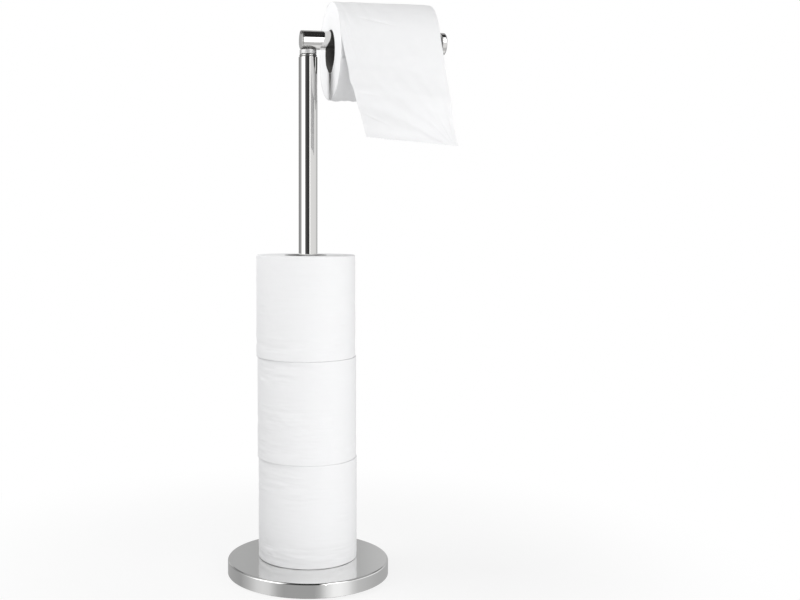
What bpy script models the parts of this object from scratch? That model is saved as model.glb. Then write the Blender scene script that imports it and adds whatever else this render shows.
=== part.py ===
# Freestanding toilet paper holder. A weighted round base carries a chrome post with three spare
# rolls on it, and an arm on the post's top carries the roll in use.
# Metres, +Z up. The origin is the centre of the base's underside, on the post's axis. The arm
# points along +X, and the sheet hangs on the -Y side, which is the front.
import math

import bmesh
import bpy
from mathutils import Vector

# Fits shared by all pieces
seat_gap = 0.0003            # between two faces that touch
cut_overrun = 0.002          # how far a cutter passes a face

# Base
base_diameter = 0.165
base_height = 0.0152         # floor to the cover's top face
cover_wall = 0.001
cover_edge_radius = 0.0009
pad_reveal = 0.0008          # the pad holds the cover's rim this far off the floor
pad_thickness = 0.002
rim_clearance = 0.0006       # from the cover's wall to the pad and the weight inside it
weight_recess_radius = 0.011
weight_web = 0.0029          # iron left above the recess for the bolt's head

# Bolt that holds the post from below, and its washers
bolt_radius = 0.004
bolt_clearance = 0.0004      # from the bolt's shank to each hole it passes
bolt_head_flats = 0.013
bolt_head_height = 0.0044
bolt_grip = 0.021            # length of the bolt inside the post's foot insert
flat_washer_radius = 0.008
flat_washer_thickness = 0.0012
spring_washer_radius = 0.0067
spring_washer_thickness = 0.0016
spring_washer_slot = 0.0014

# Post and arm tube
tube_diameter = 0.0192
tube_wall = 0.0012
tube_edge_radius = 0.0003
foot_insert_length = 0.028
arm_axis_height = 0.5449

# Neck between the post and the arm
collar_height = 0.0044
collar_diameter = 0.0170
collar_edge_radius = 0.0005
flange_height = 0.0024
flange_diameter = 0.0178
flange_edge_radius = 0.0006
bush_length = 0.032
bush_wall = 0.002
spigot_clearance = 0.0003    # running gap between the spigot and the bush
neck_screw_radius = 0.0025
neck_screw_clearance = 0.0003
neck_screw_head_radius = 0.0045
neck_screw_head_height = 0.003
neck_screw_grip = 0.0075     # length of the screw inside the arm's nut block
neck_washer_radius = 0.0076
neck_washer_thickness = 0.0015

# Arm ends and what is inside the arm
arm_overhang = 0.0077        # from the post's axis to the end cap's rim
end_cap_flange = 0.0012
end_cap_plug = 0.0015
end_cap_dome = 0.0005
end_cap_edge_radius = 0.0004
arm_reach = 0.1444           # from the post's axis to the tip cap's rim
tip_cap_diameter = 0.023
tip_cap_length = 0.006
tip_cap_plug = 0.010
tip_cap_dome = 0.0006
tip_cap_edge_radius = 0.0014
nut_block_length = 0.0145

# Rolls
core_bore_diameter = 0.0416
core_wall = 0.0008
spare_roll_diameter = 0.1018
spare_roll_width = 0.1036
hanging_roll_diameter = 0.0984
hanging_roll_width = 0.1014
roll_edge_radius = 0.0012
roll_start = 0.0228          # from the post's axis to the hanging roll's near face
spare_roll_count = 3
# Where each spare roll stands in the play between its core and the post, as shares of that play.
spare_roll_shift_shares = ((0.11, 0.74), (0.01, 0.63), (-0.11, 0.53))

# Sheet that hangs from the roll in use. Left and right are as seen from the front.
sheet_thickness = 0.0008
sheet_lap_angle = math.radians(40)     # how much of the sheet still lies on the roll
sheet_leave_angle = math.radians(15)   # it leaves the roll this far above the foremost line
sheet_drop_left = 0.1054
sheet_drop_right = 0.1111
sheet_forward_left = 0.0432
sheet_forward_right = 0.0182
sheet_drift_left = 0.0144              # how far the lower corners are pulled towards the tip
sheet_drift_right = 0.0123
sheet_skew_share = 0.6                 # of that slant, already there where the sheet leaves the roll
sheet_wave = 0.0016                    # depth of the soft folds across the sheet
sheet_wave_count = 1.5
sheet_handle_share = 0.38              # handle length of the edge curves, of the drop
sheet_lap_rows = 5
sheet_hang_rows = 16
sheet_columns = 8

# Fineness of the turned pieces
base_steps = 72
roll_steps = 48
tube_steps = 36
small_steps = 20
corner_points = 2
dome_points = 3
merge_distance = 0.00001     # turned pieces close on their axis within this

# Values worked out from the sizes above
base_radius = base_diameter / 2
tube_radius = tube_diameter / 2
tube_bore_radius = tube_radius - tube_wall
core_bore_radius = core_bore_diameter / 2
core_radius = core_bore_radius + core_wall
plug_radius = tube_bore_radius - seat_gap
hole_radius = bolt_radius + bolt_clearance
cover_inside_radius = base_radius - cover_wall
cover_inside_top = base_height - cover_wall
weight_bottom = pad_thickness + seat_gap
weight_top = cover_inside_top - seat_gap
weight_recess_top = weight_top - weight_web
flat_washer_top = weight_recess_top - seat_gap
spring_washer_top = flat_washer_top - flat_washer_thickness - seat_gap
bolt_head_top = spring_washer_top - spring_washer_thickness - seat_gap
post_bottom = base_height + seat_gap
bolt_top = post_bottom + bolt_grip
collar_top = arm_axis_height - tube_radius - seat_gap
collar_bottom = collar_top - collar_height
flange_top = collar_bottom - seat_gap
flange_bottom = flange_top - flange_height
post_top = flange_bottom - seat_gap
bush_bottom = flange_bottom - bush_length
bush_bore_radius = plug_radius - bush_wall
spigot_radius = bush_bore_radius - spigot_clearance
neck_hole_radius = neck_screw_radius + neck_screw_clearance
neck_washer_top = bush_bottom - seat_gap
neck_screw_head_top = neck_washer_top - neck_washer_thickness - seat_gap
nut_block_bottom = arm_axis_height - plug_radius
neck_screw_top = nut_block_bottom + neck_screw_grip
end_cap_inner = -arm_overhang + end_cap_flange
arm_tube_start = end_cap_inner + seat_gap
arm_tube_end = arm_reach - tip_cap_length - seat_gap
nut_block_start = end_cap_inner + end_cap_plug + seat_gap
hanging_axis_height = arm_axis_height + tube_radius + seat_gap - core_bore_radius
hanging_roll_radius = hanging_roll_diameter / 2
core_play = core_bore_radius - tube_radius


def clear_scene():
    for item in list(bpy.data.objects):
        bpy.data.objects.remove(item, do_unlink=True)
    for group in list(bpy.data.collections):
        bpy.data.collections.remove(group)


def new_collection(name):
    group = bpy.data.collections.new(name)
    bpy.context.scene.collection.children.link(group)
    return group


clear_scene()
parts = new_collection("toilet_paper_holder")
cutters = new_collection("cutters")


def principled(name, color, roughness, metallic):
    material = bpy.data.materials.new(name)
    material.use_nodes = True
    shader = material.node_tree.nodes["Principled BSDF"]
    shader.inputs["Base Color"].default_value = (*color, 1.0)
    shader.inputs["Roughness"].default_value = roughness
    shader.inputs["Metallic"].default_value = metallic
    material.diffuse_color = (*color, 1.0)
    return material


satin_steel = principled("satin_steel", (0.80, 0.80, 0.795), 0.2, 1.0)
chrome = principled("chrome", (0.69, 0.685, 0.675), 0.05, 1.0)
zinc_steel = principled("zinc_steel", (0.55, 0.56, 0.58), 0.4, 1.0)
cast_iron = principled("cast_iron", (0.09, 0.09, 0.095), 0.75, 0.6)
foam_rubber = principled("foam_rubber", (0.03, 0.03, 0.03), 0.9, 0.0)
tissue_paper = principled("tissue_paper", (0.88, 0.88, 0.89), 0.95, 0.0)
core_board = principled("core_board", (0.085, 0.082, 0.078), 0.9, 0.0)


def add_object(name, mesh, material, group=parts):
    item = bpy.data.objects.new(name, mesh)
    item.data.materials.append(material)
    group.objects.link(item)
    return item


def as_cutter(item):
    item.hide_render = True
    item.display_type = "WIRE"
    return item


def arc(center_r, center_z, radius, start_deg, end_deg, count=corner_points):
    """Points of an arc in a turned profile, as (radius, height) pairs."""
    points = []
    for k in range(count + 1):
        angle = math.radians(start_deg + (end_deg - start_deg) * k / count)
        points.append((center_r + radius * math.cos(angle), center_z + radius * math.sin(angle)))
    return points


def dome(radius, base_z, height, count=dome_points):
    """Points of a shallow dome from its rim at base_z up to the axis, as (radius, height) pairs."""
    points = []
    for k in range(count + 1):
        share = 1 - k / count
        points.append((radius * share, base_z + height * (1 - share * share)))
    return points


def turned(name, profile, material, steps, ring, group=parts):
    """A profile of (radius, height) pairs, outer side running down, turned about local Z."""
    mesh = bpy.data.meshes.new(name)
    work = bmesh.new()
    verts = [work.verts.new((r, 0.0, z)) for r, z in profile]
    for first, second in zip(verts, verts[1:]):
        work.edges.new((first, second))
    if ring:
        work.edges.new((verts[-1], verts[0]))
    work.to_mesh(mesh)
    work.free()
    item = add_object(name, mesh, material, group)
    screw = item.modifiers.new("turn", "SCREW")
    screw.axis = "Z"
    screw.angle = 2 * math.pi
    screw.steps = steps
    screw.render_steps = steps
    screw.use_merge_vertices = True
    screw.merge_threshold = merge_distance
    screw.use_smooth_shade = True
    return item


def boolean(item, tool, operation):
    cut = item.modifiers.new(tool.name, "BOOLEAN")
    cut.operation = operation
    cut.solver = "EXACT"
    cut.object = tool
    return cut


def add_empty(name, location):
    empty = bpy.data.objects.new(name, None)
    empty.empty_display_type = "PLAIN_AXES"
    empty.empty_display_size = tube_diameter
    parts.objects.link(empty)
    empty.location = location
    return empty


def place(item, location, parent=None, along_x=False):
    """Puts a piece at a world position, parented to an unturned empty on its joint's axis."""
    item.location = Vector(location) - (parent.location if parent else Vector())
    if along_x:
        item.rotation_euler = (0.0, math.pi / 2, 0.0)
    item.parent = parent
    return item


def washer(name, radius, bore, thickness, top):
    profile = [(bore, top), (radius, top), (radius, top - thickness), (bore, top - thickness)]
    return turned(name, profile, zinc_steel, small_steps, ring=True)


def make_base():
    edge = cover_edge_radius
    cover = [(hole_radius, base_height)]
    cover += arc(base_radius - edge, base_height - edge, edge, 90, 0)
    cover += [
        (base_radius, pad_reveal),
        (cover_inside_radius, pad_reveal),
        (cover_inside_radius, cover_inside_top),
        (hole_radius, cover_inside_top),
    ]
    turned("base_cover", cover, satin_steel, base_steps, ring=True)

    inside = cover_inside_radius - rim_clearance
    weight = [
        (hole_radius, weight_top),
        (inside, weight_top),
        (inside, weight_bottom),
        (weight_recess_radius, weight_bottom),
        (weight_recess_radius, weight_recess_top),
        (hole_radius, weight_recess_top),
    ]
    turned("base_weight", weight, cast_iron, roll_steps, ring=True)

    pad = [(0.0, pad_thickness), (inside, pad_thickness), (inside, 0.0), (0.0, 0.0)]
    turned("base_pad", pad, foam_rubber, roll_steps, ring=False)


def make_base_fastening():
    washer("base_flat_washer", flat_washer_radius, hole_radius, flat_washer_thickness, flat_washer_top)
    spring = washer(
        "base_spring_washer", spring_washer_radius, hole_radius, spring_washer_thickness, spring_washer_top
    )
    slot_mesh = bpy.data.meshes.new("spring_washer_slot")
    work = bmesh.new()
    bmesh.ops.create_cube(work, size=1.0)
    height = spring_washer_thickness + 2 * cut_overrun
    bmesh.ops.scale(work, vec=(spring_washer_radius + cut_overrun, spring_washer_slot, height), verts=work.verts)
    work.to_mesh(slot_mesh)
    work.free()
    slot = as_cutter(add_object("spring_washer_slot", slot_mesh, zinc_steel, cutters))
    slot.location = (
        (spring_washer_radius + cut_overrun) / 2,
        0.0,
        spring_washer_top - spring_washer_thickness / 2,
    )
    boolean(spring, slot, "DIFFERENCE")

    shank = [
        (0.0, bolt_top),
        (bolt_radius, bolt_top),
        (bolt_radius, bolt_head_top - bolt_head_height / 2),
        (0.0, bolt_head_top - bolt_head_height / 2),
    ]
    bolt = turned("base_bolt", shank, zinc_steel, small_steps, ring=False)
    head_mesh = bpy.data.meshes.new("bolt_head_hexagon")
    work = bmesh.new()
    corner = bolt_head_flats / 2 / math.cos(math.pi / 6)
    bmesh.ops.create_cone(
        work, cap_ends=True, segments=6, radius1=corner, radius2=corner, depth=bolt_head_height
    )
    work.to_mesh(head_mesh)
    work.free()
    head = as_cutter(add_object("bolt_head_hexagon", head_mesh, zinc_steel, cutters))
    head.location = (0.0, 0.0, bolt_head_top - bolt_head_height / 2)
    boolean(bolt, head, "UNION")


def make_post():
    edge = tube_edge_radius
    tube = [(tube_bore_radius, post_top)]
    tube += arc(tube_radius - edge, post_top - edge, edge, 90, 0)
    tube += [(tube_radius, post_bottom), (tube_bore_radius, post_bottom)]
    turned("post_tube", tube, chrome, tube_steps, ring=True)

    insert_top = post_bottom + foot_insert_length
    hole_top = bolt_top + seat_gap
    insert = [
        (0.0, insert_top),
        (plug_radius, insert_top),
        (plug_radius, post_bottom),
        (hole_radius, post_bottom),
        (hole_radius, hole_top),
        (0.0, hole_top),
    ]
    turned("post_foot_insert", insert, zinc_steel, small_steps, ring=False)


def make_neck(swivel):
    edge = flange_edge_radius
    flange_radius = flange_diameter / 2
    bush = [(bush_bore_radius, flange_top)]
    bush += arc(flange_radius - edge, flange_top - edge, edge, 90, 0)
    bush += [
        (flange_radius, flange_bottom),
        (plug_radius, flange_bottom),
        (plug_radius, bush_bottom),
        (bush_bore_radius, bush_bottom),
    ]
    turned("swivel_bush", bush, chrome, tube_steps, ring=True)

    spigot = [
        (neck_hole_radius, flange_top),
        (spigot_radius, flange_top),
        (spigot_radius, bush_bottom),
        (neck_hole_radius, bush_bottom),
    ]
    place(turned("neck_spigot", spigot, zinc_steel, small_steps, ring=True), Vector(), swivel)

    edge = collar_edge_radius
    collar_radius = collar_diameter / 2
    collar = [(neck_hole_radius, collar_top)]
    collar += arc(collar_radius - edge, collar_top - edge, edge, 90, 0)
    collar += [(collar_radius, collar_bottom), (neck_hole_radius, collar_bottom)]
    place(turned("neck_collar", collar, satin_steel, tube_steps, ring=True), Vector(), swivel)

    retainer = washer(
        "neck_retaining_washer", neck_washer_radius, neck_hole_radius, neck_washer_thickness, neck_washer_top
    )
    place(retainer, Vector(), swivel)

    screw = [
        (0.0, neck_screw_top),
        (neck_screw_radius, neck_screw_top),
        (neck_screw_radius, neck_screw_head_top),
        (neck_screw_head_radius, neck_screw_head_top),
        (neck_screw_head_radius, neck_screw_head_top - neck_screw_head_height),
        (0.0, neck_screw_head_top - neck_screw_head_height),
    ]
    place(turned("neck_screw", screw, zinc_steel, small_steps, ring=False), Vector(), swivel)


def neck_screw_hole(name, bottom, top):
    """A cutter for the neck screw's hole through the arm's pieces."""
    profile = [(0.0, top), (neck_hole_radius, top), (neck_hole_radius, bottom), (0.0, bottom)]
    return as_cutter(turned(name, profile, zinc_steel, small_steps, ring=False, group=cutters))


def make_arm(swivel):
    """The arm's pieces are turned about local Z, which place() lays along +X."""
    axis_point = (0.0, 0.0, arm_axis_height)
    edge = tube_edge_radius
    tube = [(tube_bore_radius, arm_tube_end)]
    tube += arc(tube_radius - edge, arm_tube_end - edge, edge, 90, 0)
    tube += [(tube_radius, arm_tube_start), (tube_bore_radius, arm_tube_start)]
    arm = place(turned("arm_tube", tube, chrome, tube_steps, ring=True), axis_point, swivel, along_x=True)
    tube_underside = arm_axis_height - tube_radius
    boolean(arm, neck_screw_hole("arm_tube_hole", tube_underside - cut_overrun, arm_axis_height), "DIFFERENCE")

    block_end = nut_block_start + nut_block_length
    block = [(0.0, block_end), (plug_radius, block_end), (plug_radius, nut_block_start), (0.0, nut_block_start)]
    nut = turned("arm_nut_block", block, zinc_steel, small_steps, ring=False)
    place(nut, axis_point, swivel, along_x=True)
    hole_top = neck_screw_top + seat_gap
    boolean(nut, neck_screw_hole("nut_block_hole", nut_block_bottom - cut_overrun, hole_top), "DIFFERENCE")

    rim = -arm_overhang
    edge = end_cap_edge_radius
    flange_end = rim + end_cap_flange
    cap = [(0.0, flange_end + end_cap_plug), (plug_radius, flange_end + end_cap_plug), (plug_radius, flange_end)]
    cap += [(tube_radius, flange_end)]
    cap += arc(tube_radius - edge, rim + edge, edge, 0, -90)
    cap += [(r, 2 * rim - z) for r, z in dome(tube_radius - edge, rim, end_cap_dome)[1:]]
    place(turned("arm_end_cap", cap, chrome, tube_steps, ring=False), axis_point, swivel, along_x=True)

    edge = tip_cap_edge_radius
    tip_radius = tip_cap_diameter / 2
    shoulder = arm_reach - tip_cap_length
    tip = list(reversed(dome(tip_radius - edge, arm_reach, tip_cap_dome)))[:-1]
    tip += arc(tip_radius - edge, arm_reach - edge, edge, 90, 0)
    tip += arc(tip_radius - edge, shoulder + edge, edge, 0, -90)
    tip += [(plug_radius, shoulder), (plug_radius, shoulder - tip_cap_plug), (0.0, shoulder - tip_cap_plug)]
    place(turned("arm_tip_cap", tip, chrome, tube_steps, ring=False), axis_point, swivel, along_x=True)


def wound_paper(name, radius, start, width):
    """A wound roll with its bore, from start upwards along local Z."""
    edge = roll_edge_radius
    end = start + width
    bore = core_radius + seat_gap
    profile = [(bore, end)]
    profile += arc(radius - edge, end - edge, edge, 90, 0)
    profile += arc(radius - edge, start + edge, edge, 0, -90)
    profile += [(bore, start)]
    return turned(name, profile, tissue_paper, roll_steps, ring=True)


def core_tube(name, start, width):
    end = start + width
    profile = [(core_bore_radius, end), (core_radius, end), (core_radius, start), (core_bore_radius, start)]
    return turned(name, profile, core_board, roll_steps, ring=True)


def make_spare_rolls():
    for index, (shift_x, shift_y) in zip(range(spare_roll_count), spare_roll_shift_shares):
        bottom = post_bottom + index * (spare_roll_width + seat_gap)
        axis = add_empty(f"spare_roll_{index + 1}_lift", (shift_x * core_play, shift_y * core_play, bottom))
        paper = wound_paper(f"spare_roll_{index + 1}_paper", spare_roll_diameter / 2, 0.0, spare_roll_width)
        core = core_tube(f"spare_roll_{index + 1}_core", 0.0, spare_roll_width)
        place(paper, axis.location, axis)
        place(core, axis.location, axis)


def make_hanging_roll(spin):
    paper = wound_paper("hanging_roll_paper", hanging_roll_radius, roll_start, hanging_roll_width)
    core = core_tube("hanging_roll_core", roll_start, hanging_roll_width)
    place(paper, spin.location, spin, along_x=True)
    place(core, spin.location, spin, along_x=True)


def bezier(points, share):
    """A point of a cubic curve through four control points."""
    rest = 1 - share
    a, b, c, d = points
    return a * rest ** 3 + b * 3 * rest ** 2 * share + c * 3 * rest * share ** 2 + d * share ** 3


def sheet_edge(x, drop, forward, drift):
    """Control points of one long edge of the hanging sheet, from the line where it leaves the roll."""
    radius = hanging_roll_radius + seat_gap
    leave = Vector((x, -radius * math.cos(sheet_leave_angle), radius * math.sin(sheet_leave_angle)))
    corner = leave + Vector((drift, -forward, -drop))
    tangent = Vector((
        sheet_skew_share * drift / drop,
        -math.sin(sheet_leave_angle),
        -math.cos(sheet_leave_angle),
    ))
    chord = (corner - leave).normalized()
    handle = sheet_handle_share * drop
    return leave, leave + tangent * handle, corner - chord * handle, corner


def sheet_rows():
    """Rows of points across the sheet, from its lap on the roll down to its free edge."""
    near = roll_start
    far = roll_start + hanging_roll_width
    radius = hanging_roll_radius + seat_gap
    left = sheet_edge(near, sheet_drop_left, sheet_forward_left, sheet_drift_left)
    right = sheet_edge(far, sheet_drop_right, sheet_forward_right, sheet_drift_right)
    rows = []
    for row in range(sheet_lap_rows):
        angle = sheet_leave_angle + sheet_lap_angle * (1 - row / sheet_lap_rows)
        y = -radius * math.cos(angle)
        z = radius * math.sin(angle)
        rows.append((Vector((near, y, z)), Vector((far, y, z))))
    for row in range(sheet_hang_rows + 1):
        share = row / sheet_hang_rows
        rows.append((bezier(left, share), bezier(right, share)))
    return rows


def make_sheet(spin):
    """The outermost lap of the roll and the length that hangs from it, with its soft folds."""
    mesh = bpy.data.meshes.new("hanging_sheet")
    work = bmesh.new()
    grid = []
    for index, (start, end) in enumerate(sheet_rows()):
        hang = max(0, index - sheet_lap_rows) / sheet_hang_rows
        line = []
        for column in range(sheet_columns + 1):
            share = column / sheet_columns
            point = start.lerp(end, share)
            phase = 2 * math.pi * sheet_wave_count * (hang + share / 2)
            point.y -= sheet_wave * hang * (1 - math.cos(phase)) / 2
            line.append(work.verts.new(point))
        grid.append(line)
    for upper, lower in zip(grid, grid[1:]):
        for k in range(sheet_columns):
            work.faces.new((upper[k], lower[k], lower[k + 1], upper[k + 1]))
    work.to_mesh(mesh)
    work.free()
    sheet = add_object("hanging_sheet", mesh, tissue_paper)
    wall = sheet.modifiers.new("wall", "SOLIDIFY")
    wall.thickness = sheet_thickness
    wall.offset = 1.0
    mesh.shade_smooth()
    place(sheet, spin.location, spin)


make_base()
make_base_fastening()
make_post()
swivel_axis = add_empty("arm_swivel_axis", (0.0, 0.0, flange_top))
spin_axis = add_empty("roll_spin_axis", (0.0, 0.0, hanging_axis_height))
make_neck(swivel_axis)
make_arm(swivel_axis)
make_spare_rolls()
make_hanging_roll(spin_axis)
make_sheet(spin_axis)
spin_axis.location -= swivel_axis.location
spin_axis.parent = swivel_axis
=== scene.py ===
# Freestanding toilet paper holder: the finished look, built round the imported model.
# Lengths are in metres and +Z is up. The front is the -Y side, and the arm points along +X.
import math

import bmesh
import bpy
from mathutils import Matrix, Vector, noise


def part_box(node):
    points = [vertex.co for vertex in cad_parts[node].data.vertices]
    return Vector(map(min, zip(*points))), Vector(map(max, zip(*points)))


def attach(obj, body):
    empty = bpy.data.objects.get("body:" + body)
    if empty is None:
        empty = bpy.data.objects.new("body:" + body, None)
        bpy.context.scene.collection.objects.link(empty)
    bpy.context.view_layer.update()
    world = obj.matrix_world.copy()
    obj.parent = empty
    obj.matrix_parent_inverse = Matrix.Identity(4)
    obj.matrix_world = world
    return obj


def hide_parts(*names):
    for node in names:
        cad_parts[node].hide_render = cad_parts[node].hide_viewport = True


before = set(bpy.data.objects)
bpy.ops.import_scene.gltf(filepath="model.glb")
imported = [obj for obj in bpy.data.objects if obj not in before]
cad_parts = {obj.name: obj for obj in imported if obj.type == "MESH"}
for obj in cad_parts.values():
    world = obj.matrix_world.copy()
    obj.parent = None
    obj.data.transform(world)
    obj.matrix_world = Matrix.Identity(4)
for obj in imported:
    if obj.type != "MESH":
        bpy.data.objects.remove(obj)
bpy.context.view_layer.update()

scene = bpy.context.scene
scene.view_settings.view_transform = "Standard"


def addObject(name, data):
    item = bpy.data.objects.new(name, data)
    scene.collection.objects.link(item)
    return item


def meshFrom(work, name, material):
    mesh = bpy.data.meshes.new(name)
    work.to_mesh(mesh)
    work.free()
    mesh.materials.append(material)
    return mesh


# Camera
camera = {
    "place": (-0.22074, -1.08325, 0.36963),
    "downTilt": 0.043,        # radians below level
    "turn": -0.2010,          # radians, seen from above
    "lensMm": 48.75,
    "shift": (0.115, -0.0501),
}


def makeCamera():
    data = bpy.data.cameras.new("camera")
    data.lens = camera["lensMm"]
    data.shift_x, data.shift_y = camera["shift"]
    data.dof.use_dof = False
    item = addObject("camera", data)
    item.location = camera["place"]
    item.rotation_euler = (math.pi / 2 - camera["downTilt"], 0.0, camera["turn"])
    scene.camera = item


makeCamera()
print("camera placed")


# Node trees. A sum goes into the tree of the first socket given to it.
def feed(socket, value):
    if isinstance(value, bpy.types.NodeSocket):
        socket.id_data.links.new(value, socket)
    else:
        socket.default_value = value


def addNode(tree, kind, sockets=None, **settings):
    node = tree.nodes.new(kind)
    for name, value in settings.items():
        setattr(node, name, value)
    for key, value in (sockets or {}).items():
        feed(node.inputs[key], value)
    return node


def result(tree, kind, sockets=None, **settings):
    return addNode(tree, kind, sockets, **settings).outputs[0]


def treeOf(values):
    return next(value.id_data for value in values if isinstance(value, bpy.types.NodeSocket))


def calc(operation, *values):
    return result(treeOf(values), "ShaderNodeMath", dict(enumerate(values)), operation=operation)


def plus(first, *others):
    for other in others:
        first = calc("ADD", first, other)
    return first


def times(first, *others):
    for other in others:
        first = calc("MULTIPLY", first, other)
    return first


def minus(first, second):
    return calc("SUBTRACT", first, second)


def ratio(first, second):
    return calc("DIVIDE", first, second)


def bell(value):
    return calc("EXPONENT", times(value, value, -1.0))


def vectorCalc(operation, *values):
    node = addNode(treeOf(values), "ShaderNodeVectorMath", dict(enumerate(values)), operation=operation)
    return node.outputs["Value" if operation == "LENGTH" else "Vector"]


def joined(x=0.0, y=0.0, z=0.0):
    return result(treeOf((x, y, z)), "ShaderNodeCombineXYZ", {0: x, 1: y, 2: z})


def split(vector):
    return addNode(vector.id_data, "ShaderNodeSeparateXYZ", {0: vector}).outputs


def fromAxis(point):
    return vectorCalc("LENGTH", vectorCalc("MULTIPLY", point, (1.0, 1.0, 0.0)))


def ranged(value, start, end, low, high):
    sockets = {"Value": value, "From Min": start, "From Max": end, "To Min": low, "To Max": high}
    return result(value.id_data, "ShaderNodeMapRange", sockets, interpolation_type="SMOOTHSTEP")


def noiseOf(vector, scale, detail=2.0, roughness=0.5):
    sockets = {"Vector": vector, "Scale": scale, "Detail": detail, "Roughness": roughness}
    return result(vector.id_data, "ShaderNodeTexNoise", sockets)


# Finishes. Patterns are given per metre, and a pair of roughnesses is its range over the surface. A noise
# in brackets is its scale, detail and roughness.
finishes = {
    "chrome": {"color": (0.69, 0.685, 0.675), "roughness": (0.03, 0.06), "smudge": (45.0, 4.0, 0.6),
               "smudgeSpan": (0.35, 0.7), "wave": (160.0, 1.0), "waveDepth": 0.000002},
    "satinCollar": {"color": (0.88, 0.88, 0.875), "roughness": (0.5, 0.58), "lines": 2200.0, "drift": 40.0,
                    "lineDepth": 0.00001},
    "satinSteel": {"color": (0.86, 0.86, 0.855), "roughness": (0.1, 0.15), "rimRoughness": 0.05,
                   "rimWidth": 0.0019, "lines": 2600.0, "drift": 9.0, "cloud": (30.0, 3.0),
                   "lineDepth": 0.000006},
    "zincSteel": {"color": (0.52, 0.54, 0.57), "tint": (0.60, 0.60, 0.58), "roughness": (0.28, 0.46),
                  "metallic": 1.0, "patch": (380.0, 4.0, 0.6), "grain": (1500.0,), "depth": 0.00001},
    "castIron": {"color": (0.07, 0.07, 0.075), "tint": (0.12, 0.115, 0.11), "roughness": (0.6, 0.9),
                 "metallic": 0.6, "patch": (420.0, 5.0, 0.65), "grain": (420.0, 5.0, 0.65),
                 "depth": 0.00025},
    "foamRubber": {"color": (0.024, 0.024, 0.024), "tint": (0.05, 0.05, 0.05), "roughness": (0.95, 0.75),
                   "cell": 480.0, "cellSpan": (0.0, 0.6), "depth": 0.0004, "strength": 0.8},
    # The board's colours are painted far darker than grey board, as painted shade for the inside of the bore.
    "coreBoardPaintedShade": {"color": (0.064, 0.062, 0.06), "tint": (0.1, 0.097, 0.092), "roughness": 0.9, "turns": 1.5,
                  "seamWidth": 0.02, "seamTone": 0.4, "fibre": (260.0, 5.0, 0.65), "depth": 0.00012},
    "tissue": {"color": (0.885, 0.887, 0.893), "shade": (0.85, 0.852, 0.86), "roughness": 1.0,
               "crepe": 1300.0, "crepeStretch": 0.16, "crepeDepth": 0.00005, "layers": 1500.0,
               "layerDrift": 22.0, "layerShare": 0.4, "layerDepth": 0.00016, "mottle": (90.0, 4.0, 0.6),
               # The last colour is a painted dark shade for the wall of the crease's step.
               "bumpStrength": 0.6, "paintedCreaseShade": (0.2, 0.198, 0.194)},
}
noiseSpan = (0.3, 0.7)        # nearly all of a noise texture lies between these


def newMaterial(name, look, metallic=0.0):
    material = bpy.data.materials.new(name)
    material.use_nodes = True
    tree = material.node_tree
    shader = tree.nodes["Principled BSDF"]
    roughness = look["roughness"]
    feed(shader.inputs["Base Color"], (*look["color"], 1.0))
    feed(shader.inputs["Roughness"], roughness[0] if isinstance(roughness, tuple) else roughness)
    feed(shader.inputs["Metallic"], metallic)
    return material, tree, shader


def objectPoint(tree):
    return addNode(tree, "ShaderNodeTexCoord").outputs["Object"]


def blendColors(factor, first, second):
    node = addNode(factor.id_data, "ShaderNodeMix", {0: factor}, data_type="RGBA")
    for socket, color in ((node.inputs[6], first), (node.inputs[7], second)):
        feed(socket, (*color, 1.0) if isinstance(color, tuple) else color)
    return node.outputs[2]


def paint(shader, factor, first, second):
    feed(shader.inputs["Base Color"], blendColors(factor, first, second))


def roughen(shader, factor, look, span=noiseSpan):
    feed(shader.inputs["Roughness"], ranged(factor, *span, *look["roughness"]))


def bump(shader, height, depth, strength=1.0, below=None):
    sockets = {"Height": height, "Distance": depth, "Strength": strength}
    normal = result(height.id_data, "ShaderNodeBump", sockets)
    if below is not None:
        feed(normal.node.inputs["Normal"], below)
    feed(shader.inputs["Normal"], normal)
    return normal


def makeChrome():
    look = finishes["chrome"]
    material, tree, shader = newMaterial("polishedChrome", look, 1.0)
    point = objectPoint(tree)
    roughen(shader, noiseOf(point, *look["smudge"]), look, look["smudgeSpan"])
    bump(shader, noiseOf(point, *look["wave"]), look["waveDepth"])
    return material


def makeSatinSteel():
    # Fine turned lines run round the disc, and its rim is smoother.
    look = finishes["satinSteel"]
    material, tree, shader = newMaterial("satinSteel", look, 1.0)
    point = objectPoint(tree)
    x, y, z = split(point)
    radius, drift = fromAxis(point), look["drift"]
    turning = noiseOf(joined(times(plus(radius, z), look["lines"]), times(x, drift), times(y, drift)), 1.0)
    cloud = noiseOf(point, *look["cloud"])
    satin = ranged(plus(times(turning, 0.5), times(cloud, 0.5)), *noiseSpan, *look["roughness"])
    outside, rimWidth = baseSize["radius"], look["rimWidth"]
    rim = ranged(radius, outside - rimWidth, outside - rimWidth / 2, 0.0, 1.0)
    rough = plus(times(satin, minus(1.0, rim)), times(rim, look["rimRoughness"]))
    feed(shader.inputs["Roughness"], rough)
    bump(shader, turning, look["lineDepth"])
    return material


def makeSatinCollar():
    look = finishes["satinCollar"]
    material, tree, shader = newMaterial("satinCollar", look, 1.0)
    point, drift = objectPoint(tree), look["drift"]
    lines = joined(z=times(split(point)[2], look["lines"]))
    turning = noiseOf(vectorCalc("ADD", lines, vectorCalc("MULTIPLY", point, (drift, drift, 0.0))), 1.0)
    roughen(shader, turning, look)
    bump(shader, turning, look["lineDepth"])
    return material


def makeMottled(name):
    look = finishes[name]
    material, tree, shader = newMaterial(name, look, look["metallic"])
    point = objectPoint(tree)
    patch = noiseOf(point, *look["patch"])
    paint(shader, patch, look["color"], look["tint"])
    roughen(shader, patch, look)
    bump(shader, noiseOf(point, *look["grain"]), look["depth"])
    return material


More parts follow.
